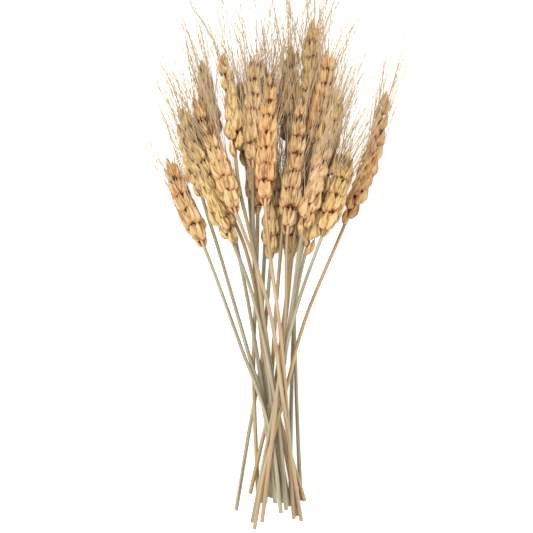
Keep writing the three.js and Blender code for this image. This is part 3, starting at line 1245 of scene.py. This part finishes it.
@dataclass
class Stalk:
    """A cut straw, hollow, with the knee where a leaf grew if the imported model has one."""

    measured: Measured
    dice: random.Random
    knee_length: float = 3.6 * MM
    knee_swell: float = 0.28
    knee_from: float = 1.12
    fatness: float = 1.12

    def knee(self) -> float:
        """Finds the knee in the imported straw, which is thicker there.

        Returns:
            Its share of the straw's length, or infinity where there is none.
        """
        radii = self.measured.straw_radii
        usual = sorted(radii)[len(radii) // 2]
        swollen = [i for i, radius in enumerate(radii) if radius > self.knee_from * usual]
        return swollen[0] / (len(radii) - 1) if swollen else math.inf

    def build(self, shapes: Shapes) -> Piece:
        """Bends a straw along its line, and marks its knee.

        Args:
            shapes: the shapes that were modelled once, by name.

        Returns:
            The straw.
        """
        line, knee = self.measured.straw, self.knee()
        thick, thin = self.measured.straw_radii[0], self.measured.straw_radii[-1]

        def near_knee(share: float) -> float:
            """How near the knee this share of the length is, from 0 to 1."""
            return math.exp(-(((share - knee) * line.length / self.knee_length) ** 2))

        def radius(share: float) -> float:
            """The straw's radius at this share of its length."""
            plain = self.fatness * (thick + (thin - thick) * share)
            return plain * (1 + self.knee_swell * near_knee(share))

        piece = bent(shapes["straw"], line, radius, self.dice.random(), self.dice.uniform(0, 6))
        piece.name = piece.data.name = f"straw_{self.measured.number}"
        shares = [v.co.z for v in shapes["straw"].data.vertices]
        knees = piece.data.attributes.new(JOINT, "FLOAT", "POINT")
        knees.data.foreach_set("value", [near_knee(share) for share in shares])
        return rested(piece, 0.6 * MM)


@dataclass
class Bundle:
    """The whole bundle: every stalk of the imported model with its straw, husks and awns."""

    seed: int = 11

    def model_shapes(self) -> Shapes:
        """Models each repeated shape once."""
        makers = (LEMMA, GLUME, BRACT, STRAW_TUBE, RACHIS_TUBE, AWN_TUBE)
        return {maker.name: maker.model() for maker in makers}

    def build(self) -> None:
        """Builds and dresses every stalk, and takes the model shapes away."""
        slots = {part["node"]: part["material_slot"] for part in frame["record"]["subparts"]}
        husk_looks = {s: f.material(f"{s.value}_husks") for s, f in HUSK_FINISHES.items()}
        awn_looks = {s: f.material(f"{s.value}_awns") for s, f in AWN_FINISHES.items()}
        straw_looks = {s: f.material(s.value) for s, f in STRAW_FINISHES.items()}
        shapes = self.model_shapes()
        numbers = sorted(node.split("_")[1] for node in frame["nodes"] if node.startswith("ear_"))
        for number in numbers:
            measured = measure(number)
            dice = random.Random(f"{self.seed} {number}")
            straw_sort = Straw(slots[f"stem_{number}"])
            ear_sort = Sort(slots[f"ear_{number}"])
            straw = Stalk(measured, dice).build(shapes)
            husks, awns = Ear(measured, dice).build(shapes)
            dress(straw, straw_looks[straw_sort], f"stem_{number}")
            dress(husks, husk_looks[ear_sort], f"ear_{number}")
            dress(awns, awn_looks[ear_sort], f"ear_{number}")
            LOG.info(
                "stalk %s: straw %.0f mm, ear %.0f mm, %d faces", number,
                measured.straw.length / MM, measured.ear.length / MM,
                sum(len(piece.data.polygons) for piece in (straw, husks, awns)),
            )
        for shape in shapes.values():
            bpy.data.objects.remove(shape)


def dress(piece: Piece, look: bpy.types.Material, node: str) -> None:
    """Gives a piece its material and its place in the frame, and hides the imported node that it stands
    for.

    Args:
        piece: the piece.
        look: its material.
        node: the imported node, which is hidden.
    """
    piece.data.materials.clear()
    piece.data.materials.append(look)
    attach(piece, ROOT)
    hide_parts(node)


# ---- the stage


@dataclass
class Stage:
    """The camera that looks straight down, the floor and the soft lights."""

    view_side: float = 0.400
    below_cut_ends: float = 0.003
    aside: float = -0.0052
    lens: float = 150.0
    focus_height: float = 0.02
    sensor: float = 36.0
    floor_size: float = 6.0
    floor_colour: Colour = (0.8, 0.8, 0.8, 1.0)
    floor_glow: float = 0.7
    room_colour: Colour = (1.0, 0.995, 0.985, 1.0)
    room_light: float = 1.55
    lamp_place: tuple[float, float, float] = (-0.55, 0.4, 1.3)
    lamp_side: float = 0.7
    lamp_watts: float = 15.0

    def camera(self) -> None:
        """Puts the camera over the bundle."""
        data = bpy.data.cameras.new("camera")
        data.lens = self.lens
        data.sensor_width = self.sensor
        camera = bpy.data.objects.new("camera", data)
        bpy.context.scene.collection.objects.link(camera)
        middle_y = CAD_BOX[0].y - self.below_cut_ends + self.view_side / 2
        height = self.view_side * self.lens / data.sensor_width
        camera.location = (self.aside, middle_y, self.focus_height + height)
        data.clip_start, data.clip_end = 0.05, 50.0
        bpy.context.scene.camera = camera

    def lights(self) -> None:
        """Hangs one large soft light over the bundle's upper left, in a pale room."""
        world = bpy.data.worlds.new("room")
        world.use_nodes = True
        background = world.node_tree.nodes["Background"]
        background.inputs["Color"].default_value = self.room_colour
        background.inputs["Strength"].default_value = self.room_light
        bpy.context.scene.world = world
        data = bpy.data.lights.new("lamp", "AREA")
        data.shape = "SQUARE"
        data.size = self.lamp_side
        data.energy = self.lamp_watts
        lamp = bpy.data.objects.new("lamp", data)
        lamp.location = self.lamp_place
        lamp.rotation_mode = "QUATERNION"
        lamp.rotation_quaternion = (-Vector(self.lamp_place)).to_track_quat("-Z", "Y")
        bpy.context.scene.collection.objects.link(lamp)
        bpy.context.scene.view_settings.view_transform = "Standard"

    def floor(self) -> None:
        """Lays the plain pale floor."""
        bpy.ops.object.select_all(action="DESELECT")
        bpy.ops.mesh.primitive_plane_add(size=self.floor_size, location=(0, 0, 0))
        floor = bpy.context.active_object
        floor.name = "floor"
        paint = Paint("floor")
        paint.shader.inputs["Base Color"].default_value = self.floor_colour
        paint.shader.inputs["Roughness"].default_value = 0.9
        paint.shader.inputs["Emission Color"].default_value = (1.0, 1.0, 1.0, 1.0)
        paint.shader.inputs["Emission Strength"].default_value = self.floor_glow
        floor.data.materials.append(paint.material)


def main() -> None:
    """Builds the stage and the bundle."""
    logging.basicConfig(level=logging.INFO, format="%(name)s: %(message)s")
    stage = Stage()
    stage.camera()
    Bundle().build()
    stage.floor()
    stage.lights()


if __name__ == "__main__":
    main()
